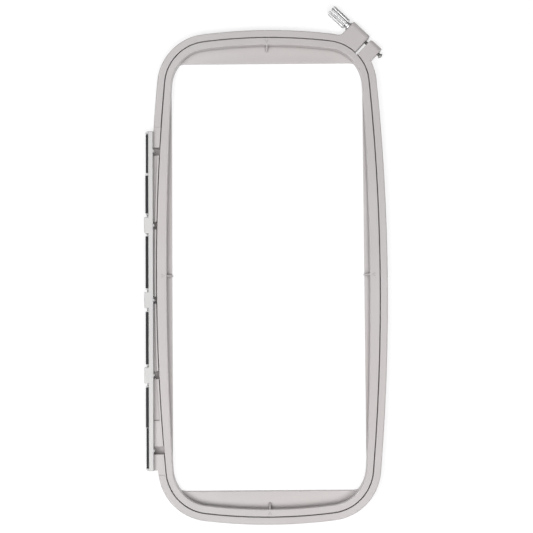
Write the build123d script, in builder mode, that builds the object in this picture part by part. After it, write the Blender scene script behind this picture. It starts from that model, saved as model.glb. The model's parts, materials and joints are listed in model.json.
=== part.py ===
from build123d import *
import os

# Multi-position embroidery hoop: a split outer hoop with a thumb-screw clamp, an inner hoop with a
# flange, and an attachment rail with five pin sockets and three catch tabs.
# Units are millimetres. The origin is the centre of the sewing field on the underside plane:
# +X points away from the rail, +Y towards the clamp end, +Z up.

# --- Driving dimensions -----------------------------------------------------------------------

HOOP_HEIGHT = 10.0

# Parting line between the two hoops: a rectangle with bowed sides and round corners.
PARTING_HALF_X = 89.9
PARTING_HALF_Y = 192.85
PARTING_SIDE_BOW = 1730.0
PARTING_END_BOW = 420.0
PARTING_CORNER = 36.0
HOOP_GAP = 0.7

# Outer hoop
OUTER_WALL = 5.8
WEB_WIDTH = 14.0
OUTER_EDGE_ROUND = 1.1
INNER_EDGE_ROUND = 0.4
FOOT_CHAMFER = 0.5

# Inner hoop: its inner wall is less bowed than the parting line, so it is thicker at mid-length.
INNER_HALF_X = 81.8
INNER_HALF_Y = 186.9
INNER_SIDE_BOW = 2780.0
INNER_END_BOW = 410.0
INNER_CORNER = 30.5
INNER_TOP_ROUND = 0.6
FLANGE_THICKNESS = 2.0
FLANGE_ROUND = 0.9
OPENING_HALF_X = 77.9
OPENING_HALF_Y = 173.0
OPENING_CORNER = 11.0
MARK_RIB_WIDTH = 1.4
MARK_RIB_LENGTH = 4.7
MARK_RIB_TOP = 9.2
ARROW_SIZE = 3.0
ARROW_LINE = 0.6
ARROW_DEPTH = 0.3
ARROW_SETBACK = 1.2

# Attachment rail
RAIL_CENTRE_Y = -19.5
RAIL_LENGTH = 272.0
RAIL_INNER_X = -92.2
RAIL_OUTER_X = -95.9
RAIL_BOTTOM = 0.5
RAIL_TOP = 14.0
RAIL_TOP_ROUND = 0.6
RAIL_END_ROUND = 2.2
POSITION_PITCH = 60.0
STRIP_OUTER_X = -98.3
END_STRIP_OUTER_X = -97.9
STRIP_BOTTOM = 2.2
STRIP_TOP = 12.6
STRIP_ROUND = 0.4
TAB_LENGTH = 13.2
TAB_OUTER_X = -99.4
TAB_DEPTH = 4.8
TAB_CORNER = 1.0
TAB_ROUND = 0.8
RIB_TOP = 12.4
END_CAP_LENGTH = 2.0
END_CAP_TOP = 13.0
# Each strip's lower and upper end, measured from the rail's centre.
STRIP_SPANS = [
    (102.3, 133.0),
    (69.7, 100.0),
    (9.5, 51.0),
    (-51.2, -9.5),
    (-101.5, -69.7),
    (-133.8, -101.9),
]
# The ribs that hold the strips' ends, measured the same way.
RIB_SPANS = [
    (100.2, 102.1),
    (68.8, 69.5),
    (51.2, 51.9),
    (8.6, 9.3),
    (-9.3, -8.6),
    (-52.1, -51.4),
    (-69.5, -68.8),
    (-101.85, -101.55),
]

# Windows and sockets
WINDOW_LENGTH = 6.4
WINDOW_FLOOR = 2.0
STEP_DEPTH = 0.5
STEP_MARGIN = 3.8
STEP_WIDTH = 14.0
TROUGH_DEPTH = 2.0
TROUGH_LIP = 1.3
TROUGH_SPAN = (-96.5, 118.0)
POINTER_WIDTH = 2.6
POINTER_REACH = 1.1
POINTER_LIFT = 0.3
WINDOW_NIB = 0.7
WINDOW_NIB_X = -91.1
SOCKET_AXIS_Z = 6.5
SOCKET_BORE_RADIUS = 2.0
SOCKET_OUTER_RADIUS = 3.0
SOCKET_CLEARANCE = 0.3
SOCKET_MOUTH_CHAMFER = 0.4

# Screws that hold the rail
RAIL_SCREW_PLACES = [108.0, 76.0, -76.0, -108.0]
RAIL_SCREW_HEAD_RADIUS = 2.0
RAIL_SCREW_HEAD_DEPTH = 1.4
RAIL_SCREW_HEAD = 1.3
RAIL_SCREW_RADIUS = 1.0
RAIL_SCREW_LENGTH = 4.6
RAIL_SCREW_Z = 6.5
RAIL_SCREW_CLEARANCE = 0.1
RAIL_SCREW_RECESS = 0.62

# Clamp: stations along the screw axis are measured from the middle of the slit, towards the tip.
CLAMP_X = 81.3
CLAMP_Y = 188.6
CLAMP_ANGLE = -43.9
CLAMP_AXIS_Z = 5.0
SLIT_WIDTH = 2.7
SLIT_TRIM = 0.05
LUG_A_START = -19.1
LUG_A_REACH = 5.7
LUG_B_END = 12.8
LUG_B_REACH = 4.7
LUG_ROUND = 4.3
LUG_ROOT = 13.5
RING_AT_LUG_A = -10.8
RING_AT_LUG_B = -8.9
LUG_A_INNER_CORNER = 1.6
LUG_A_OUTER_CORNER = 0.8
LUG_A_BLEND = 5.5
LUG_B_CHAMFER = 1.8
LUG_B_CORNER = 1.2
LUG_B_BLEND = 1.2
SHANK_RADIUS = 1.5
SHANK_END = 16.5
SHANK_START = -33.6
SHANK_CLEARANCE = 0.2
NUT_ACROSS_FLATS = 5.5
NUT_LENGTH = 2.4
NUT_START = 5.6
NUT_FIT = 0.05
THREAD_CLEARANCE = 0.05
WASHER_RADIUS = 4.0
WASHER_LENGTH = 1.2
WASHER_GAP = 0.03
WASHER_EDGE = 0.3
NECK_RADIUS = 3.0
KNOB_RADIUS = 4.6
KNOB_LENGTH = 17.1
KNOB_START = -39.5
KNOB_FLUTES = 10
FLUTE_RADIUS = 1.0
FLUTE_DEPTH = 0.65
KNOB_EDGE = 0.6
KNOB_SLOT_WIDTH = 1.3
KNOB_SLOT_DEPTH = 1.6
PRESS_GAP = 0.01
CLIP_RADIUS = 2.3
CLIP_LENGTH = 0.7
CLIP_START = 15.2
TIP_CHAMFER = 0.4

# --- Derived places ---------------------------------------------------------------------------

CLAMP_PLAN = Plane(origin=(CLAMP_X, CLAMP_Y, 0)).rotated((0, 0, CLAMP_ANGLE))
SCREW_DIRECTION = CLAMP_PLAN.x_dir
OUTWARD = CLAMP_PLAN.y_dir
SOCKET_PLACES = [RAIL_CENTRE_Y + POSITION_PITCH * step for step in (2, 1, 0, -1, -2)]
TAB_PLACES = SOCKET_PLACES[1:4]
RAIL_LOW_Y = RAIL_CENTRE_Y - RAIL_LENGTH / 2
RAIL_HIGH_Y = RAIL_CENTRE_Y + RAIL_LENGTH / 2
RAIL_WIDTH = RAIL_INNER_X - STRIP_OUTER_X
SCREW_TIP_X = RAIL_OUTER_X + RAIL_SCREW_HEAD_DEPTH + RAIL_SCREW_LENGTH


def clamp_point(station, reach):
    """A plan point near the clamp: station along the screw axis, reach outwards from it."""
    point = CLAMP_PLAN.from_local_coords((station, reach, 0))
    return (point.X, point.Y)


def across_screw(station):
    """The plane across the screw axis at a station: its x points outwards, its y up."""
    origin = CLAMP_PLAN.from_local_coords((station, 0, CLAMP_AXIS_Z))
    return Plane(origin=origin, x_dir=OUTWARD, z_dir=SCREW_DIRECTION)


def across_rail(x, place, height):
    """The plane across X at a place on the rail: it looks towards the sewing field, along +X."""
    return Plane(origin=(x, place, height), x_dir=(0, 1, 0), z_dir=(1, 0, 0))


def bowed_outline(half_x, half_y, side_bow, end_bow, corner, grow=0.0):
    """A closed outline of four bowed sides with round corners, grown all round if asked.

    side_bow and end_bow are the radii of the sides, so the outline is where four discs overlap.
    """
    side_radius = side_bow + grow
    end_radius = end_bow + grow
    side_centre = half_x + grow - side_radius
    end_centre = half_y + grow - end_radius
    with BuildSketch() as outline:
        with Locations((side_centre, 0)):
            Circle(side_radius)
        with Locations((-side_centre, 0)):
            Circle(side_radius, mode=Mode.INTERSECT)
        for middle in (end_centre, -end_centre):
            with Locations((0, middle)):
                Circle(end_radius, mode=Mode.INTERSECT)
        corners = outline.vertices().filter_by(lambda vertex: abs(vertex.Y) > 1)
        fillet(corners, corner + grow)
    return outline.sketch


def parting_outline(grow=0.0):
    """The parting line between the hoops, grown by a distance."""
    return bowed_outline(
        PARTING_HALF_X, PARTING_HALF_Y, PARTING_SIDE_BOW, PARTING_END_BOW, PARTING_CORNER, grow
    )


def nearest_vertex(sketch, station, reach):
    """The vertex of a sketch nearest to a place beside the clamp's screw."""
    return sketch.vertices().sort_by_distance((*clamp_point(station, reach), 0))[0]


def mark_planes():
    """An upright plane through each side's middle, its x pointing outwards, and the wall's reach."""
    for direction, reach in (
        ((1, 0, 0), INNER_HALF_X),
        ((0, 1, 0), INNER_HALF_Y),
        ((-1, 0, 0), INNER_HALF_X),
        ((0, -1, 0), INNER_HALF_Y),
    ):
        outwards = Vector(direction)
        yield Plane(origin=(0, 0, 0), x_dir=outwards, z_dir=outwards.cross(Vector(0, 0, 1))), reach


def is_flange_end(edge):
    """Whether an edge is the flange's upper edge at an end of the opening."""
    middle = edge.center()
    at_height = abs(middle.Z - FLANGE_THICKNESS) < 0.01
    return at_height and abs(abs(middle.Y) - OPENING_HALF_Y) < 0.01


def is_plain_rim(edge):
    """Whether a rim edge is part of the ring's own outer edge, not of a lug or the rail's seat."""
    middle = edge.center()
    local = CLAMP_PLAN.to_local_coords(middle)
    on_lug = LUG_A_START - 0.5 < local.X < LUG_B_END + 0.5 and local.Y > -6
    on_seat = middle.X < RAIL_INNER_X + 2.5
    return not on_lug and not on_seat


def box_between(low, high, mode=Mode.ADD):
    """A box given by its two opposite corners."""
    middle = tuple((a + b) / 2 for a, b in zip(low, high))
    size = tuple(b - a for a, b in zip(low, high))
    with Locations(middle):
        Box(*size, mode=mode)


def finish(part, name):
    """Names a finished piece and writes it."""
    part.label = name
    export_step(part, f"parts/{name}.step")


os.makedirs("parts", exist_ok=True)
inner_wall = bowed_outline(
    INNER_HALF_X, INNER_HALF_Y, INNER_SIDE_BOW, INNER_END_BOW, INNER_CORNER
)

# --- Outer hoop -------------------------------------------------------------------------------

# The lugs start a little inside the slit, which trims them to their faces.
lug_a_end = SLIT_TRIM - SLIT_WIDTH / 2
lug_b_start = SLIT_WIDTH / 2 - SLIT_TRIM
lugs = ((LUG_A_START, lug_a_end, LUG_A_REACH), (lug_b_start, LUG_B_END, LUG_B_REACH))

with BuildPart() as outer_hoop:
    with BuildSketch() as plan:
        add(parting_outline(HOOP_GAP / 2 + OUTER_WALL))
        # The web that reaches out to the rail, and the flat seat that the rail is screwed to.
        with Locations((RAIL_INNER_X, RAIL_CENTRE_Y)):
            Rectangle(WEB_WIDTH, RAIL_LENGTH, align=(Align.MIN, Align.CENTER))
            Rectangle(
                WEB_WIDTH, RAIL_LENGTH, align=(Align.MAX, Align.CENTER), mode=Mode.SUBTRACT
            )
        for start, end, reach in lugs:
            with Locations(clamp_point((start + end) / 2, (reach - LUG_ROOT) / 2)):
                Rectangle(end - start, reach + LUG_ROOT, rotation=CLAMP_ANGLE)
        for station, corner_reach, radius in (
            (LUG_A_START, RING_AT_LUG_A, LUG_A_BLEND),
            (LUG_A_START, LUG_A_REACH, LUG_A_OUTER_CORNER),
            (lug_a_end, LUG_A_REACH, LUG_A_INNER_CORNER),
            (LUG_B_END, LUG_B_REACH, LUG_B_CORNER),
            (LUG_B_END, RING_AT_LUG_B, LUG_B_BLEND),
        ):
            fillet(nearest_vertex(plan, station, corner_reach), radius)
        chamfer(nearest_vertex(plan, lug_b_start, LUG_B_REACH), LUG_B_CHAMFER)
    extrude(amount=HOOP_HEIGHT)
    with BuildSketch():
        add(parting_outline(HOOP_GAP / 2))
    extrude(amount=HOOP_HEIGHT, mode=Mode.SUBTRACT)
    top = outer_hoop.faces().sort_by(Axis.Z)[-1]
    fillet(top.outer_wire().edges().filter_by(is_plain_rim), OUTER_EDGE_ROUND)
    top = outer_hoop.faces().sort_by(Axis.Z)[-1]
    fillet(top.inner_wires()[0].edges(), INNER_EDGE_ROUND)
    bottom = outer_hoop.faces().sort_by(Axis.Z)[0]
    chamfer(bottom.outer_wire().edges().filter_by(is_plain_rim), FOOT_CHAMFER)

    # The lugs' outer sides are barrel-shaped about the screw.
    for start, end, reach in lugs:
        with BuildSketch(across_screw(start)):
            with Locations((reach - LUG_ROUND, 0)):
                Rectangle(LUG_ROUND + 1, HOOP_HEIGHT + 2, align=(Align.MIN, Align.CENTER))
            with BuildSketch(mode=Mode.SUBTRACT) as barrel:
                with Locations((reach, 0)):
                    Rectangle(LUG_ROUND * 2, HOOP_HEIGHT, align=(Align.MAX, Align.CENTER))
                fillet(barrel.vertices().group_by(Axis.X)[-1], LUG_ROUND)
        extrude(amount=end - start, mode=Mode.SUBTRACT)

    # The slit, the screw's clearance hole, and the pocket that the nut drops into from below.
    with BuildSketch(CLAMP_PLAN):
        Rectangle(SLIT_WIDTH, 4 * LUG_ROOT)
    extrude(amount=HOOP_HEIGHT + 1, mode=Mode.SUBTRACT)
    with BuildSketch(across_screw(LUG_A_START)):
        Circle(SHANK_RADIUS + SHANK_CLEARANCE)
    extrude(amount=LUG_B_END - LUG_A_START, mode=Mode.SUBTRACT)
    with BuildSketch(across_screw(NUT_START)):
        with Locations((0, NUT_ACROSS_FLATS / 2 + NUT_FIT)):
            Rectangle(
                NUT_ACROSS_FLATS + 2 * NUT_FIT, HOOP_HEIGHT, align=(Align.CENTER, Align.MAX)
            )
    extrude(amount=NUT_LENGTH + 2 * NUT_FIT, mode=Mode.SUBTRACT)

    # The ring's face is a little lower beside the rail.
    with BuildSketch(Plane.XY.offset(HOOP_HEIGHT - STEP_DEPTH)):
        with Locations((RAIL_INNER_X, RAIL_CENTRE_Y)):
            Rectangle(
                STEP_WIDTH, RAIL_LENGTH + 2 * STEP_MARGIN, align=(Align.MIN, Align.CENTER)
            )
    extrude(amount=STEP_DEPTH, mode=Mode.SUBTRACT)

    # Between the rail and a narrow lip along the mouth, the web is hollowed by a trough.
    with BuildSketch(Plane.XY.offset(HOOP_HEIGHT - TROUGH_DEPTH)):
        with Locations((RAIL_INNER_X, RAIL_CENTRE_Y + sum(TROUGH_SPAN) / 2)):
            Rectangle(
                STEP_WIDTH, TROUGH_SPAN[1] - TROUGH_SPAN[0], align=(Align.MIN, Align.CENTER)
            )
        add(parting_outline(HOOP_GAP / 2 + TROUGH_LIP), mode=Mode.SUBTRACT)
    extrude(amount=TROUGH_DEPTH, mode=Mode.SUBTRACT)

    # A window behind each pin socket.
    with BuildSketch(Plane.XY.offset(WINDOW_FLOOR)):
        with Locations([(RAIL_INNER_X, place) for place in SOCKET_PLACES]):
            Rectangle(WEB_WIDTH, WINDOW_LENGTH, align=(Align.MIN, Align.CENTER))
        for place in TAB_PLACES:
            for side in (-1, 1):
                wall = place + side * WINDOW_LENGTH / 2
                with BuildLine(mode=Mode.PRIVATE) as nib:
                    Polyline(
                        (WINDOW_NIB_X - WINDOW_NIB, wall),
                        (WINDOW_NIB_X, wall - side * WINDOW_NIB),
                        (WINDOW_NIB_X + WINDOW_NIB, wall),
                        close=True,
                    )
                add(make_face(nib.edges(), mode=Mode.PRIVATE), mode=Mode.SUBTRACT)
    extrude(amount=HOOP_HEIGHT, mode=Mode.SUBTRACT)

    # Pilot holes for the rail's screws.
    for place in RAIL_SCREW_PLACES:
        with BuildSketch(across_rail(RAIL_INNER_X, RAIL_CENTRE_Y + place, RAIL_SCREW_Z)):
            Circle(RAIL_SCREW_RADIUS)
        extrude(amount=SCREW_TIP_X - RAIL_INNER_X, mode=Mode.SUBTRACT)

finish(outer_hoop.part, "outer_hoop")

# --- Inner hoop -------------------------------------------------------------------------------

with BuildPart() as inner_hoop:
    with BuildSketch():
        add(parting_outline(-HOOP_GAP / 2))
    extrude(amount=HOOP_HEIGHT)
    with BuildSketch(Plane.XY.offset(FLANGE_THICKNESS)):
        add(inner_wall)
    extrude(amount=HOOP_HEIGHT, mode=Mode.SUBTRACT)
    with BuildSketch():
        RectangleRounded(2 * OPENING_HALF_X, 2 * OPENING_HALF_Y, OPENING_CORNER)
        add(inner_wall, mode=Mode.INTERSECT)
    extrude(amount=HOOP_HEIGHT, mode=Mode.SUBTRACT)
    fillet(inner_hoop.edges().filter_by(is_flange_end), FLANGE_ROUND)
    top = inner_hoop.faces().sort_by(Axis.Z)[-1]
    fillet(top.inner_wires()[0].edges(), INNER_TOP_ROUND)
    top = inner_hoop.faces().sort_by(Axis.Z)[-1]
    fillet(top.outer_wire().edges(), INNER_EDGE_ROUND)

    # A triangular rib on the flange marks the middle of each side.
    for plane, reach in mark_planes():
        with BuildSketch(plane):
            with BuildLine():
                Polyline(
                    (reach + INNER_TOP_ROUND, FLANGE_THICKNESS - 1),
                    (reach + INNER_TOP_ROUND, MARK_RIB_TOP),
                    (reach, MARK_RIB_TOP),
                    (reach - MARK_RIB_LENGTH, FLANGE_THICKNESS),
                    (reach - MARK_RIB_LENGTH, FLANGE_THICKNESS - 1),
                    close=True,
                )
            make_face()
        extrude(amount=MARK_RIB_WIDTH / 2, both=True)

    # An arrow engraved in the top face points at each rib.
    for plane, reach in mark_planes():
        tip = reach + ARROW_SETBACK
        with BuildSketch(Plane(origin=(0, 0, HOOP_HEIGHT), x_dir=plane.x_dir, z_dir=(0, 0, 1))):
            with BuildLine():
                Polyline(
                    (tip, 0),
                    (tip + ARROW_SIZE, ARROW_SIZE / 2),
                    (tip + ARROW_SIZE, ARROW_SIZE / 2 - ARROW_LINE),
                    (tip + 2 * ARROW_LINE, 0),
                    (tip + ARROW_SIZE, ARROW_LINE - ARROW_SIZE / 2),
                    (tip + ARROW_SIZE, -ARROW_SIZE / 2),
                    close=True,
                )
            make_face()
        extrude(amount=-ARROW_DEPTH, mode=Mode.SUBTRACT)
finish(inner_hoop.part, "inner_hoop")

# --- Attachment rail --------------------------------------------------------------------------


def rail_block(outer_x, low_y, high_y, top_z):
    """A block on the rail's outer side."""
    box_between((outer_x, low_y, RAIL_BOTTOM), (RAIL_INNER_X, high_y, top_z))


with BuildPart() as catch_tab:
    with BuildSketch(Plane.XY.offset(RAIL_BOTTOM)) as tab_plan:
        with Locations((TAB_OUTER_X, 0)):
            Rectangle(TAB_DEPTH, TAB_LENGTH, align=(Align.MIN, Align.CENTER))
        fillet(tab_plan.vertices().group_by(Axis.X)[0], TAB_CORNER)
    extrude(amount=RAIL_TOP - RAIL_BOTTOM)
    tab_top = catch_tab.faces().sort_by(Axis.Z)[-1]
    fillet(tab_top.edges().sort_by(Axis.X)[:-1], TAB_ROUND)

with BuildPart() as attachment_rail:
    rail_block(RAIL_OUTER_X, RAIL_LOW_Y, RAIL_HIGH_Y, RAIL_TOP)
    rail_face = attachment_rail.faces().sort_by(Axis.Z)[-1]
    fillet(rail_face.edges(), RAIL_TOP_ROUND)
    rail_block(STRIP_OUTER_X, RAIL_LOW_Y, RAIL_HIGH_Y, STRIP_BOTTOM)
    rail_block(STRIP_OUTER_X, RAIL_LOW_Y, RAIL_LOW_Y + END_CAP_LENGTH, END_CAP_TOP)
    rail_block(STRIP_OUTER_X, RAIL_HIGH_Y - END_CAP_LENGTH, RAIL_HIGH_Y, END_CAP_TOP)
    for low, high in RIB_SPANS:
        rail_block(STRIP_OUTER_X, RAIL_CENTRE_Y + low, RAIL_CENTRE_Y + high, RIB_TOP)
    with BuildSketch() as rail_plan:
        with Locations((STRIP_OUTER_X, RAIL_CENTRE_Y)):
            Rectangle(RAIL_WIDTH, RAIL_LENGTH, align=(Align.MIN, Align.CENTER))
        fillet(rail_plan.vertices().group_by(Axis.X)[0], RAIL_END_ROUND)
    extrude(amount=RAIL_TOP, mode=Mode.INTERSECT)
    with Locations([(0, place, 0) for place in TAB_PLACES]):
        add(catch_tab.part)

    # A pointer reaches into each window, in line with its socket.
    with BuildSketch(Plane.XY.offset(WINDOW_FLOOR + POINTER_LIFT)):
        for place in SOCKET_PLACES:
            with BuildLine():
                Polyline(
                    (RAIL_INNER_X - POINTER_REACH, place - POINTER_WIDTH / 2),
                    (RAIL_INNER_X, place - POINTER_WIDTH / 2),
                    (RAIL_INNER_X + POINTER_REACH, place),
                    (RAIL_INNER_X, place + POINTER_WIDTH / 2),
                    (RAIL_INNER_X - POINTER_REACH, place + POINTER_WIDTH / 2),
                    close=True,
                )
            make_face()
    extrude(amount=RAIL_TOP - RAIL_TOP_ROUND - WINDOW_FLOOR - POINTER_LIFT)

    # Holes for the socket liners, on through the pointers, and under the strips for the screws.
    for place in SOCKET_PLACES:
        with BuildSketch(across_rail(TAB_OUTER_X, place, SOCKET_AXIS_Z)):
            Circle(SOCKET_OUTER_RADIUS + PRESS_GAP)
        extrude(amount=RAIL_INNER_X + POINTER_REACH - TAB_OUTER_X, mode=Mode.SUBTRACT)
    for place in RAIL_SCREW_PLACES:
        with BuildSketch(across_rail(RAIL_OUTER_X, RAIL_CENTRE_Y + place, RAIL_SCREW_Z)):
            Circle(RAIL_SCREW_RADIUS + RAIL_SCREW_CLEARANCE)
        extrude(amount=RAIL_INNER_X - RAIL_OUTER_X, mode=Mode.SUBTRACT)
        with BuildSketch(across_rail(RAIL_OUTER_X, RAIL_CENTRE_Y + place, RAIL_SCREW_Z)):
            Circle(RAIL_SCREW_HEAD_RADIUS + RAIL_SCREW_CLEARANCE)
        extrude(amount=RAIL_SCREW_HEAD_DEPTH, mode=Mode.SUBTRACT)
finish(attachment_rail.part, "attachment_rail")

# --- Strips along the rail's outer side -------------------------------------------------------

for number, (low, high) in enumerate(STRIP_SPANS, start=1):
    is_end = number in (1, len(STRIP_SPANS))
    outer_x = END_STRIP_OUTER_X if is_end else STRIP_OUTER_X
    with BuildPart() as strip:
        box_between(
            (outer_x, RAIL_CENTRE_Y + low, STRIP_BOTTOM),
            (RAIL_OUTER_X, RAIL_CENTRE_Y + high, STRIP_TOP),
        )
        fillet(strip.faces().sort_by(Axis.X)[0].edges(), STRIP_ROUND)
        if is_end:
            socket = SOCKET_PLACES[0] if number == 1 else SOCKET_PLACES[-1]
            with BuildSketch(across_rail(outer_x, socket, SOCKET_AXIS_Z)):
                Circle(SOCKET_OUTER_RADIUS + SOCKET_CLEARANCE)
            extrude(amount=RAIL_OUTER_X - outer_x, mode=Mode.SUBTRACT)
    finish(strip.part, f"rail_strip_{number}")

# --- Liners of the pin sockets ----------------------------------------------------------------

for number, place in enumerate(SOCKET_PLACES, start=1):
    mouth_x = TAB_OUTER_X if place in TAB_PLACES else END_STRIP_OUTER_X
    length = RAIL_INNER_X - mouth_x
    with BuildPart() as liner:
        with BuildSketch(across_rail(mouth_x, place, SOCKET_AXIS_Z)):
            Circle(SOCKET_OUTER_RADIUS)
            Circle(SOCKET_BORE_RADIUS, mode=Mode.SUBTRACT)
        extrude(amount=length)
        mouth = liner.faces().sort_by(Axis.X)[0]
        chamfer(mouth.inner_wires()[0].edges(), SOCKET_MOUTH_CHAMFER)
    finish(liner.part, f"pin_socket_{number}")

# --- Screws that hold the rail ----------------------------------------------------------------

with BuildPart() as rail_screws:
    for place in RAIL_SCREW_PLACES:
        seat_x = RAIL_OUTER_X + RAIL_SCREW_HEAD_DEPTH
        with BuildSketch(across_rail(seat_x, RAIL_CENTRE_Y + place, RAIL_SCREW_Z)):
            Circle(RAIL_SCREW_RADIUS)
        extrude(amount=SCREW_TIP_X - seat_x)
        with BuildSketch(across_rail(seat_x, RAIL_CENTRE_Y + place, RAIL_SCREW_Z)):
            Circle(RAIL_SCREW_HEAD_RADIUS)
        extrude(amount=-RAIL_SCREW_HEAD)
        with BuildSketch(
            across_rail(seat_x - RAIL_SCREW_HEAD, RAIL_CENTRE_Y + place, RAIL_SCREW_Z)
        ):
            Rectangle(RAIL_SCREW_RECESS, RAIL_SCREW_RECESS * 4)
            Rectangle(RAIL_SCREW_RECESS * 4, RAIL_SCREW_RECESS)
        extrude(amount=RAIL_SCREW_RECESS, mode=Mode.SUBTRACT)
finish(rail_screws.part, "rail_screws")

# --- Clamp screw: knob, shank, washer, clip and nut -------------------------------------------

washer_end = LUG_A_START - WASHER_GAP
washer_start = washer_end - WASHER_LENGTH
knob_end = KNOB_START + KNOB_LENGTH

with BuildPart() as screw_knob:
    with BuildSketch(across_screw(KNOB_START)):
        Circle(KNOB_RADIUS)
    extrude(amount=KNOB_LENGTH)
    chamfer(screw_knob.edges().filter_by(GeomType.CIRCLE), KNOB_EDGE)
    with BuildSketch(across_screw(KNOB_START)):
        with PolarLocations(KNOB_RADIUS + FLUTE_RADIUS - FLUTE_DEPTH, KNOB_FLUTES):
            Circle(FLUTE_RADIUS)
    extrude(amount=KNOB_LENGTH, mode=Mode.SUBTRACT)
    with BuildSketch(across_screw(KNOB_START)):
        Rectangle(KNOB_SLOT_WIDTH, 2 * KNOB_RADIUS)
    extrude(amount=KNOB_SLOT_DEPTH, mode=Mode.SUBTRACT)
    with BuildSketch(across_screw(knob_end)):
        Circle(NECK_RADIUS)
    extrude(amount=washer_start - knob_end)
    with BuildSketch(across_screw(SHANK_START)):
        Circle(SHANK_RADIUS + PRESS_GAP)
    extrude(amount=washer_start - SHANK_START, mode=Mode.SUBTRACT)
finish(screw_knob.part, "screw_knob")

with BuildPart() as screw_shank:
    with BuildSketch(across_screw(SHANK_START)):
        Circle(SHANK_RADIUS)
    extrude(amount=SHANK_END - SHANK_START)
    chamfer(screw_shank.edges().filter_by(GeomType.CIRCLE), TIP_CHAMFER)
finish(screw_shank.part, "screw_shank")

with BuildPart() as clamp_washer:
    with BuildSketch(across_screw(washer_start)):
        Circle(WASHER_RADIUS)
        Circle(SHANK_RADIUS + THREAD_CLEARANCE, mode=Mode.SUBTRACT)
    extrude(amount=WASHER_LENGTH)
    rims = clamp_washer.edges().filter_by(GeomType.CIRCLE).group_by(SortBy.RADIUS)[-1]
    fillet(rims, WASHER_EDGE)
finish(clamp_washer.part, "clamp_washer")

with BuildPart() as clamp_nut:
    with BuildSketch(across_screw(NUT_START + NUT_FIT)):
        Rectangle(NUT_ACROSS_FLATS, NUT_ACROSS_FLATS)
        Circle(SHANK_RADIUS + THREAD_CLEARANCE, mode=Mode.SUBTRACT)
    extrude(amount=NUT_LENGTH)
finish(clamp_nut.part, "clamp_nut")

with BuildPart() as retaining_clip:
    with BuildSketch(across_screw(CLIP_START)):
        Circle(CLIP_RADIUS)
        Circle(SHANK_RADIUS + PRESS_GAP, mode=Mode.SUBTRACT)
    extrude(amount=CLIP_LENGTH)
finish(retaining_clip.part, "retaining_clip")
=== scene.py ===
import json
import math

import bpy
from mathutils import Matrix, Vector


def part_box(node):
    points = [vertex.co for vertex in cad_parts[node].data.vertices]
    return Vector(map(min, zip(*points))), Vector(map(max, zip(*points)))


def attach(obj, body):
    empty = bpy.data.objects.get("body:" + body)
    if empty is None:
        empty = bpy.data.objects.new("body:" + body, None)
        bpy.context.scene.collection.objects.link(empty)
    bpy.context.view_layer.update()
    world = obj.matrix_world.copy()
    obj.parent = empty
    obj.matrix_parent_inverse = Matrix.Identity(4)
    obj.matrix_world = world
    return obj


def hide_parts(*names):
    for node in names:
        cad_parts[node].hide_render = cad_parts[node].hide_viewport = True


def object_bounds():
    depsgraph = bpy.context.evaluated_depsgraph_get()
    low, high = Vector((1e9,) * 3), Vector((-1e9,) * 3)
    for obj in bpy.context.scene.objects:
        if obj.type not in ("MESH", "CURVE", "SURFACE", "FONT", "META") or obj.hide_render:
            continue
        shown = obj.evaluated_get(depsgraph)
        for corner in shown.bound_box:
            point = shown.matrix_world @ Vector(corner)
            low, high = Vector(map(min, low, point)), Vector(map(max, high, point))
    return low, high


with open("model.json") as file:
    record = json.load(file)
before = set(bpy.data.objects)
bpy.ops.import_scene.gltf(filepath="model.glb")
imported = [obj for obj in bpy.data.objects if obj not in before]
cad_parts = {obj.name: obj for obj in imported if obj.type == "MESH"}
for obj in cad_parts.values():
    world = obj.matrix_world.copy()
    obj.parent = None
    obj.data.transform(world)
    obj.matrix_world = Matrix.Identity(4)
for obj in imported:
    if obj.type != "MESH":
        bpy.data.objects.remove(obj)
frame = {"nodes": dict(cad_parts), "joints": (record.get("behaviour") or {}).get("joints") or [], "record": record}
cad_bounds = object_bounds()

# An embroidery hoop in satin light-grey plastic, with a nickel-plated thumb screw and a side rail
# with black ribbed strips. Lengths are in metres, in the frame of the CAD model. The CAD's own
# shapes are kept: this script gives them materials, ribs the strips and threads the screw.

MM = 0.001

# --- Camera and light -------------------------------------------------------------------------

# The camera looks almost straight down. Its tilt is in degrees, its lens and sensor in millimetres.
CAMERA_AT = (0.0011, -0.0363, 0.9522)
CAMERA_TILT = (2.62, 0.17, -0.42)
LENS = 79.3
SENSOR = 36.0
NEAREST_SEEN = 0.01

FLOOR_HALF = 14.0
FLOOR_GAP = 0.05 * MM
FLOOR_COLOUR = (0.40, 0.40, 0.40)
# Glowing a little, the floor reads as white as a paper backdrop.
FLOOR_GLOW = 0.66
FLOOR_CLOUD_SCALE = 3.0
FLOOR_CLOUD_SHADE = 1.01
FLOOR_ROUGHNESS = 0.9

WORLD_COLOUR = (0.97, 0.98, 1.0)
WORLD_STRENGTH = 0.04
# Each soft light's name, place, width in metres and power in watts. All three hang high: the key
# light past the near end on the right, the fill on the left and the overhead past the far end.
SOFT_LIGHTS = (
    ("key", (0.42, -0.72, 1.50), 0.80, 13.4),
    ("fill", (-0.56, -0.34, 1.12), 0.60, 6.8),
    ("overhead", (-0.15, 0.32, 1.10), 0.90, 4.3),
)

# --- Rubber ribs on the rail's strips ---------------------------------------------------------

RIB_PITCH = 1.45 * MM
RIB_WIDTH = 0.85 * MM
RIB_PROUD = 0.26 * MM
RIB_SINK = 0.10 * MM
RIB_MARGIN = 0.7 * MM
RIB_STEPS = 8
# A rib's ends are rounded: its height shrinks to the tip's share over RIB_END_ROUND, by way of a
# shoulder, and its width shrinks less.
RIB_END_ROUND = 0.45 * MM
RIB_TIP = 0.25
RIB_SHOULDER = 0.75
RIB_SHOULDER_AT = 0.3
RIB_LEAST_WIDTH = 0.6
SHORTEST_RIB = 1.0 * MM
STRIP_COUNT = 6
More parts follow.
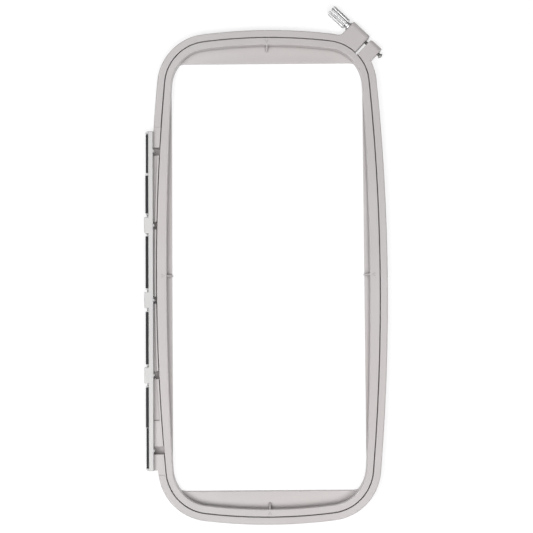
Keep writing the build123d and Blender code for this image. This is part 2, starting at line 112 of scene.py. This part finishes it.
# Two of the socket mouths open through the end strips, and the ribs stop at a ring around them.
SOCKET_RING = 3.55 * MM

# --- Screw thread -----------------------------------------------------------------------------

# Places along the screw are measured towards its tip, from its joint's point in the slit.
THREAD_PITCH = 0.5 * MM
THREAD_DEPTH = 0.26 * MM
THREAD_START = -17.0 * MM
THREAD_RUN_OUT = 1.0 * MM
TIP_CHAMFER = 0.45 * MM
TURN_STEPS = 28
PITCH_STEPS = 8

# --- Colours ----------------------------------------------------------------------------------

HOOP_GREY = (0.568, 0.541, 0.538)
HOOP_WARMTH = (1.0, 0.965, 0.958)
RAIL_GREY = (0.655, 0.65, 0.645)
RAIL_WARMTH = (1.0, 0.99, 0.985)
RUBBER_BLACK = (0.017, 0.017, 0.019)
RUBBER_BLOOM = (0.055, 0.055, 0.058)
NICKEL = (0.74, 0.74, 0.745)
NICKEL_TARNISH = (0.56, 0.55, 0.53)
NICKEL_CREASE_DARK = (0.22, 0.22, 0.22)
DARK_STEEL = (0.34, 0.335, 0.33)
DARK_STEEL_STAIN = (0.20, 0.185, 0.17)
LINER_STEEL = (0.46, 0.455, 0.45)
LINER_STEEL_STAIN = (0.30, 0.28, 0.26)
GLOW_WHITE = (1.0, 1.0, 1.0)

# --- Wear and grain ---------------------------------------------------------------------------

# How far darkening reaches out of a crease (on the plastic, painted shade), and how wide the plastic's painted
# shade band and the worn marks along an edge are.
PLASTIC_CREASE_SHADE = 2.0 * MM
PLASTIC_RIM_SHADE_BAND = 0.9 * MM
PLASTIC_WORN_EDGE = 0.14 * MM
RUBBER_WORN_EDGE = 0.25 * MM
NICKEL_CREASE = 1.0 * MM
STEEL_WORN_EDGE = 0.12 * MM
# Noise scales: the larger, the finer the pattern.
PLASTIC_CLOUDS = 14.0
PLASTIC_WARM_PATCHES = 5.0
PLASTIC_GRAIN = 2600.0
PLASTIC_HANDLED_PATCHES = 38.0
PLASTIC_SCRATCHES = 900.0
RUBBER_CLOUDS = 120.0
RUBBER_GRAIN = 3200.0
NICKEL_TURNING = 5200.0
NICKEL_STAINS = 260.0
STEEL_TOOL_MARKS = 6000.0
STEEL_STAINS = 420.0
# How deep each kind of bump is.
PLASTIC_CLOUD_DEPTH = 0.05 * MM
PLASTIC_GRAIN_DEPTH = 0.014 * MM
RUBBER_GRAIN_DEPTH = 0.02 * MM
NICKEL_TURNING_DEPTH = 0.006 * MM
STEEL_MARK_DEPTH = 0.005 * MM
PLASTIC_IOR = 1.49


def mesh_object(name, verts, faces, smooth=True):
    """A mesh object made from points and faces."""
    mesh = bpy.data.meshes.new(name)
    mesh.from_pydata([tuple(v) for v in verts], [], faces)
    mesh.validate()
    mesh.update()
    mesh.polygons.foreach_set("use_smooth", [smooth] * len(mesh.polygons))
    piece = bpy.data.objects.new(name, mesh)
    bpy.context.scene.collection.objects.link(piece)
    return piece


# --- Material helpers -------------------------------------------------------------------------


class Shader:
    """A new material and short calls that add nodes to it."""

    def __init__(self, name):
        self.material = bpy.data.materials.new(name)
        self.material.use_nodes = True
        self.tree = self.material.node_tree
        self.surface = self.tree.nodes["Principled BSDF"]
        self.place = self.tree.nodes.new("ShaderNodeTexCoord").outputs["Object"]

    def add(self, kind, **settings):
        node = self.tree.nodes.new(kind)
        for key, value in settings.items():
            setattr(node, key, value)
        return node

    def link(self, source, target):
        self.tree.links.new(source, target)

    def turned(self, angle):
        """Object coordinates turned about the vertical."""
        node = self.add("ShaderNodeMapping")
        node.inputs["Rotation"].default_value = (0.0, 0.0, angle)
        self.link(self.place, node.inputs["Vector"])
        return node.outputs["Vector"]

    def stretched(self, scale, place=None):
        """Coordinates scaled by a different amount along each axis."""
        node = self.add("ShaderNodeMapping")
        node.inputs["Scale"].default_value = scale
        self.link(place or self.place, node.inputs["Vector"])
        return node.outputs["Vector"]

    def noise(self, scale, detail=2.0, roughness=0.5, place=None):
        """A smooth random pattern of values around 0.5."""
        node = self.add("ShaderNodeTexNoise")
        node.inputs["Scale"].default_value = scale
        node.inputs["Detail"].default_value = detail
        node.inputs["Roughness"].default_value = roughness
        self.link(place or self.place, node.inputs["Vector"])
        return node.outputs["Fac"]

    def spread(self, value, low, high, to_low=0.0, to_high=1.0):
        """Maps a value's range to another, clamped."""
        node = self.add("ShaderNodeMapRange", clamp=True)
        for key, number in (
            ("From Min", low),
            ("From Max", high),
            ("To Min", to_low),
            ("To Max", to_high),
        ):
            node.inputs[key].default_value = number
        self.link(value, node.inputs["Value"])
        return node.outputs["Result"]

    def maths(self, operation, first, second):
        """A sum, difference or product of two values, each a number or a socket."""
        node = self.add("ShaderNodeMath", operation=operation)
        for socket, value in zip(node.inputs, (first, second)):
            if isinstance(value, (int, float)):
                socket.default_value = value
            else:
                self.link(value, socket)
        return node.outputs["Value"]

    def mix(self, share, first, second, blend="MIX"):
        """Mixes two colours: a share, a number or a socket, of the second into the first."""
        node = self.add("ShaderNodeMix", data_type="RGBA", blend_type=blend)
        for socket, value in ((node.inputs[0], share), (node.inputs[6], first), (node.inputs[7], second)):
            if isinstance(value, bpy.types.NodeSocket):
                self.link(value, socket)
            elif isinstance(value, tuple):
                socket.default_value = (*value, 1.0)
            else:
                socket.default_value = value
        return node.outputs[2]

    def edges(self, radius):
        """1 on sharp edges and 0 on flat ground: where a rounded normal leaves the real one."""
        bevel = self.add("ShaderNodeBevel", samples=4)
        bevel.inputs["Radius"].default_value = radius
        surface = self.add("ShaderNodeNewGeometry")
        dot = self.add("ShaderNodeVectorMath", operation="DOT_PRODUCT")
        self.link(bevel.outputs["Normal"], dot.inputs[0])
        self.link(surface.outputs["Normal"], dot.inputs[1])
        return self.spread(dot.outputs["Value"], 0.72, 0.985, 1.0, 0.0)

    def creases(self, distance):
        """1 in narrow gaps and inner corners and 0 in the open."""
        hidden = self.add("ShaderNodeAmbientOcclusion", samples=6)
        hidden.inputs["Distance"].default_value = distance
        return self.spread(hidden.outputs["AO"], 0.35, 0.95, 1.0, 0.0)

    def bump(self, *layers):
        """Bump from (height socket, depth in metres, strength) layers, coarse ones first."""
        normal = None
        for height, depth, strength in layers:
            node = self.add("ShaderNodeBump")
            node.inputs["Strength"].default_value = strength
            node.inputs["Distance"].default_value = depth
            self.link(height, node.inputs["Height"])
            if normal is not None:
                self.link(normal, node.inputs["Normal"])
            normal = node.outputs["Normal"]
        self.link(normal, self.surface.inputs["Normal"])

    def colour(self, source):
        self.link(source, self.surface.inputs["Base Color"])

    def roughness(self, source):
        self.link(source, self.surface.inputs["Roughness"])


def shade(colour, factor):
    """A colour made lighter or darker."""
    return tuple(min(part * factor, 1.0) for part in colour)


def moulded_plastic(name, colour, roughness, warmth):
    """Satin moulded plastic: fine spark-eroded grain, faint clouding, rubbed edges, painted shade in creases and
    along rims.
    """
    s = Shader(name)
    clouds = s.noise(PLASTIC_CLOUDS, detail=3.0)
    tint = s.mix(s.spread(clouds, 0.35, 0.65), shade(colour, 0.965), shade(colour, 1.03))
    warm = tuple(part * gain for part, gain in zip(colour, warmth))
    tint = s.mix(s.spread(s.noise(PLASTIC_WARM_PATCHES, detail=1.0), 0.42, 0.62, 0.0, 0.6), tint, warm)
    grain = s.noise(PLASTIC_GRAIN, roughness=0.6)
    speckle = s.spread(grain, 0.3, 0.7, 0.96, 1.03)
    tint = s.mix(1.0, tint, speckle, "MULTIPLY")
    # A darker copy of the colour, painted as shade into creases and along rims.
    painted_shade = shade(colour, 0.50)
    # Painted shade in creases, narrow gaps and inner corners, where the walls fall into shadow.
    tint = s.mix(s.maths("MULTIPLY", s.creases(PLASTIC_CREASE_SHADE), 0.50), tint, painted_shade)
    # Painted shade darkens a band along each rim, where the rims turn away from the light, and rubbing has left
    # the very edge pale.
    tint = s.mix(s.maths("MULTIPLY", s.edges(PLASTIC_RIM_SHADE_BAND), 0.45), tint, painted_shade)
    edges = s.edges(PLASTIC_WORN_EDGE)
    tint = s.mix(s.maths("MULTIPLY", edges, 0.30), tint, shade(colour, 1.15))
    s.colour(tint)
    # Handling has polished some patches and left hair scratches in others.
    patches = s.spread(s.noise(PLASTIC_HANDLED_PATCHES, detail=4.0, roughness=0.6), 0.35, 0.7, -0.05, 0.07)
    scratches = s.noise(PLASTIC_SCRATCHES, roughness=0.7, place=s.stretched((1.0, 0.03, 1.0)))
    worn = s.maths("ADD", patches, s.spread(scratches, 0.62, 0.72, 0.0, 0.05))
    s.roughness(s.maths("ADD", worn, s.maths("SUBTRACT", roughness, s.maths("MULTIPLY", edges, 0.08))))
    s.surface.inputs["IOR"].default_value = PLASTIC_IOR
    s.bump((clouds, PLASTIC_CLOUD_DEPTH, 0.25), (grain, PLASTIC_GRAIN_DEPTH, 0.55))
    return s.material


def ribbed_rubber(name):
    """Black rubber with a dry bloom on its raised edges and fine moulding grain."""
    s = Shader(name)
    clouds = s.spread(s.noise(RUBBER_CLOUDS, detail=4.0), 0.4, 0.7, 0.0, 0.5)
    tint = s.mix(clouds, RUBBER_BLACK, shade(RUBBER_BLACK, 1.9))
    tint = s.mix(s.maths("MULTIPLY", s.edges(RUBBER_WORN_EDGE), 0.5), tint, RUBBER_BLOOM)
    s.colour(tint)
    grain = s.noise(RUBBER_GRAIN, detail=3.0, roughness=0.65)
    s.roughness(s.spread(grain, 0.3, 0.7, 0.62, 0.85))
    s.bump((grain, RUBBER_GRAIN_DEPTH, 0.6))
    return s.material


def nickel_plate(name, axis_turn):
    """Bright nickel plate with turning marks around the knob's axis and faint tarnish."""
    s = Shader(name)
    rings = s.stretched((1.0, 0.02, 0.02), s.turned(-axis_turn))
    marks = s.noise(NICKEL_TURNING, roughness=0.7, place=rings)
    tarnish = s.spread(s.noise(NICKEL_STAINS, detail=4.0, roughness=0.6), 0.5, 0.75)
    tint = s.mix(s.maths("MULTIPLY", tarnish, 0.35), NICKEL, NICKEL_TARNISH)
    # Darker in creases and narrow gaps.
    tint = s.mix(s.maths("MULTIPLY", s.creases(NICKEL_CREASE), 0.60), tint, NICKEL_CREASE_DARK)
    s.colour(tint)
    s.surface.inputs["Metallic"].default_value = 1.0
    s.roughness(s.maths("ADD", s.spread(marks, 0.3, 0.7, 0.40, 0.52), s.maths("MULTIPLY", tarnish, 0.12)))
    s.bump((marks, NICKEL_TURNING_DEPTH, 0.5))
    return s.material


def steel(name, colour, stain_colour, smoothest, roughest):
    """Dull machined steel: fine random tool marks, darker stains and bright rubbed edges."""
    s = Shader(name)
    stains = s.spread(s.noise(STEEL_STAINS, detail=5.0, roughness=0.62), 0.45, 0.75)
    tint = s.mix(stains, colour, stain_colour)
    tint = s.mix(s.maths("MULTIPLY", s.edges(STEEL_WORN_EDGE), 0.6), tint, shade(colour, 2.2))
    s.colour(tint)
    s.surface.inputs["Metallic"].default_value = 1.0
    marks = s.noise(STEEL_TOOL_MARKS, roughness=0.7)
    s.roughness(s.spread(marks, 0.3, 0.7, smoothest, roughest))
    s.bump((marks, STEEL_MARK_DEPTH, 0.5))
    return s.material


def floor_finish():
    """A plain pale paint with a slight glow."""
    s = Shader("floor_paint")
    clouds = s.spread(s.noise(FLOOR_CLOUD_SCALE), 0.3, 0.7)
    s.colour(s.mix(clouds, FLOOR_COLOUR, shade(FLOOR_COLOUR, FLOOR_CLOUD_SHADE)))
    s.surface.inputs["Roughness"].default_value = FLOOR_ROUGHNESS
    s.surface.inputs["Emission Color"].default_value = (*GLOW_WHITE, 1.0)
    s.surface.inputs["Emission Strength"].default_value = FLOOR_GLOW
    return s.material


# --- Pieces -----------------------------------------------------------------------------------


def rib_heights(y, low_z, high_z, socket):
    """The stretches of height that a rib at y takes: whole, or above and below a socket's mouth."""
    if socket is None or abs(y - socket.y) >= SOCKET_RING:
        return [(low_z, high_z)]
    half = math.sqrt(SOCKET_RING**2 - (y - socket.y) ** 2)
    parts = [(low_z, socket.z - half), (socket.z + half, high_z)]
    return [(a, b) for a, b in parts if b - a > SHORTEST_RIB]


def add_rib(verts, faces, face_x, y, low_z, high_z):
    """A half-round upright ridge with rounded ends, on the strip's outer face at face_x."""
    levels = (
        (low_z, RIB_TIP),
        (low_z + RIB_END_ROUND * RIB_SHOULDER_AT, RIB_SHOULDER),
        (low_z + RIB_END_ROUND, 1.0),
        (high_z - RIB_END_ROUND, 1.0),
        (high_z - RIB_END_ROUND * RIB_SHOULDER_AT, RIB_SHOULDER),
        (high_z, RIB_TIP),
    )
    base = len(verts)
    columns = RIB_STEPS + 1
    for z, size in levels:
        half_width = RIB_WIDTH / 2 * (RIB_LEAST_WIDTH + (1 - RIB_LEAST_WIDTH) * size)
        for step in range(columns):
            angle = math.pi * step / RIB_STEPS
            proud = RIB_PROUD * math.sin(angle) * size
            # The two outermost columns sink into the strip, so that no gap shows beneath the rib.
            x = face_x + (RIB_SINK if step in (0, RIB_STEPS) else 0.0) - proud
            verts.append((x, y + half_width * math.cos(angle), z))
    for row in range(len(levels) - 1):
        for step in range(RIB_STEPS):
            a = base + row * columns + step
            faces.append((a, a + 1, a + 1 + columns, a + columns))
        a = base + row * columns
        faces.append((a + RIB_STEPS, a, a + columns, a + RIB_STEPS + columns))
    last = base + (len(levels) - 1) * columns
    faces.append(tuple(base + step for step in reversed(range(columns))))
    faces.append(tuple(last + step for step in range(columns)))


def add_strip_ribs(number, socket):
    """The upright ribs moulded on one strip's outer face."""
    low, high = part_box(f"rail_strip_{number}")
    room = high.y - low.y - 2 * RIB_MARGIN
    count = int(room / RIB_PITCH)
    pitch = room / count
    verts, faces = [], []
    for index in range(count + 1):
        y = low.y + RIB_MARGIN + index * pitch
        for part_low, part_high in rib_heights(y, low.z + RIB_MARGIN, high.z - RIB_MARGIN, socket):
            add_rib(verts, faces, low.x, y, part_low, part_high)
    piece = mesh_object(f"strip_ribs_{number}", verts, faces)
    piece.data.materials.append(MATERIALS["strip_rubber"])
    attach(piece, "outer")


def reach_along(node, origin, direction):
    """The lowest and highest places of a CAD node along a line."""
    places = [(vertex.co - origin).dot(direction) for vertex in frame["nodes"][node].data.vertices]
    return min(places), max(places)


def add_screw_thread(origin, towards_tip):
    """The screw's shank with a real right-hand thread: plain near the knob, chamfered at the tip."""
    low, high = reach_along("screw_shank", origin, towards_tip)
    outwards = Vector((0, 0, 1))
    across = towards_tip.cross(outwards)
    # The shank lies level, so its box is as tall as the shank is thick.
    box_low, box_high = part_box("screw_shank")
    major = (box_high.z - box_low.z) / 2
    stations = [low, low + TIP_CHAMFER]
    steps = int((high - THREAD_START) / THREAD_PITCH * PITCH_STEPS)
    stations += [THREAD_START + (high - THREAD_START) * i / steps for i in range(steps + 1)]
    verts = []
    for place in stations:
        from_end = min(place - low, high - place)
        cone = major - max(TIP_CHAMFER - from_end, 0.0)
        fade = min(max((place - THREAD_START) / THREAD_RUN_OUT, 0.0), 1.0)
        for step in range(TURN_STEPS):
            turn = step / TURN_STEPS
            wave = abs(2 * ((place / THREAD_PITCH - turn) % 1.0) - 1.0)
            radius = min(major - THREAD_DEPTH * fade * (1 - wave), cone)
            angle = 2 * math.pi * turn
            verts.append(
                origin + towards_tip * place
                + (across * math.cos(angle) + outwards * math.sin(angle)) * radius
            )
    faces = []
    for row in range(len(stations) - 1):
        for step in range(TURN_STEPS):
            a = row * TURN_STEPS + step
            b = row * TURN_STEPS + (step + 1) % TURN_STEPS
            faces.append((a, b, b + TURN_STEPS, a + TURN_STEPS))
    last = (len(stations) - 1) * TURN_STEPS
    faces.append(tuple(reversed(range(TURN_STEPS))))
    faces.append(tuple(last + step for step in range(TURN_STEPS)))
    piece = mesh_object("threaded_shank", verts, faces, smooth=False)
    piece.data.materials.append(MATERIALS["dark_steel"])
    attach(piece, "screw")
    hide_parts("screw_shank")


def centre_of(node):
    """The middle of a CAD node's box."""
    return sum(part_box(node), Vector()) / 2


def add_floor():
    """A square floor just under the object."""
    h = FLOOR_HALF
    z = cad_bounds[0][2] - FLOOR_GAP
    corners = [(-h, -h, z), (h, -h, z), (h, h, z), (-h, h, z)]
    floor = mesh_object("floor", corners, [(0, 1, 2, 3)], smooth=False)
    floor.data.materials.append(floor_finish())


def add_soft_light(name, place, size, power):
    """A square soft light aimed at the middle of the hoop."""
    light = bpy.data.lights.new(name, "AREA")
    light.shape = "SQUARE"
    light.size = size
    light.energy = power
    lamp = bpy.data.objects.new(name, light)
    lamp.location = place
    lamp.rotation_euler = (-Vector(place)).to_track_quat("-Z", "Y").to_euler()
    bpy.context.scene.collection.objects.link(lamp)


def add_camera():
    """The camera, at the place that the photograph was taken from."""
    camera = bpy.data.cameras.new("camera")
    camera.lens = LENS
    camera.sensor_width = SENSOR
    camera.clip_start = NEAREST_SEEN
    stand = bpy.data.objects.new("camera", camera)
    stand.location = CAMERA_AT
    stand.rotation_euler = [math.radians(angle) for angle in CAMERA_TILT]
    bpy.context.scene.collection.objects.link(stand)
    bpy.context.scene.camera = stand


def add_world():
    """A weak even light from all around."""
    world = bpy.data.worlds.new("studio")
    world.use_nodes = True
    background = world.node_tree.nodes["Background"]
    background.inputs["Color"].default_value = (*WORLD_COLOUR, 1.0)
    background.inputs["Strength"].default_value = WORLD_STRENGTH
    bpy.context.scene.world = world


# --- Build ------------------------------------------------------------------------------------

screw_joint = next(joint for joint in frame["joints"] if joint["name"] == "screw_turn")
towards_tip = -Vector(screw_joint["axis"]).normalized()
screw_origin = Vector(screw_joint["pos_m"])

MATERIALS = {
    "hoop_plastic": moulded_plastic("hoop_plastic", HOOP_GREY, roughness=0.44, warmth=HOOP_WARMTH),
    "rail_plastic": moulded_plastic("rail_plastic", RAIL_GREY, roughness=0.42, warmth=RAIL_WARMTH),
    "strip_rubber": ribbed_rubber("strip_rubber"),
    "knob_nickel": nickel_plate("knob_nickel", math.atan2(towards_tip.y, towards_tip.x)),
    "dark_steel": steel("dark_steel", DARK_STEEL, DARK_STEEL_STAIN, smoothest=0.34, roughest=0.50),
    "liner_steel": steel("liner_steel", LINER_STEEL, LINER_STEEL_STAIN, smoothest=0.24, roughest=0.40),
}

for subpart in frame["record"]["subparts"]:
    node = frame["nodes"][subpart["node"]]
    node.data.materials.clear()
    node.data.materials.append(MATERIALS[subpart["material_slot"]])

socket_in_strip = {1: centre_of("pin_socket_1"), STRIP_COUNT: centre_of("pin_socket_5")}
for number in range(1, STRIP_COUNT + 1):
    add_strip_ribs(number, socket_in_strip.get(number))
add_screw_thread(screw_origin, towards_tip)

add_floor()
for soft_light in SOFT_LIGHTS:
    add_soft_light(*soft_light)
add_world()
add_camera()
bpy.context.scene.view_settings.view_transform = "Standard"
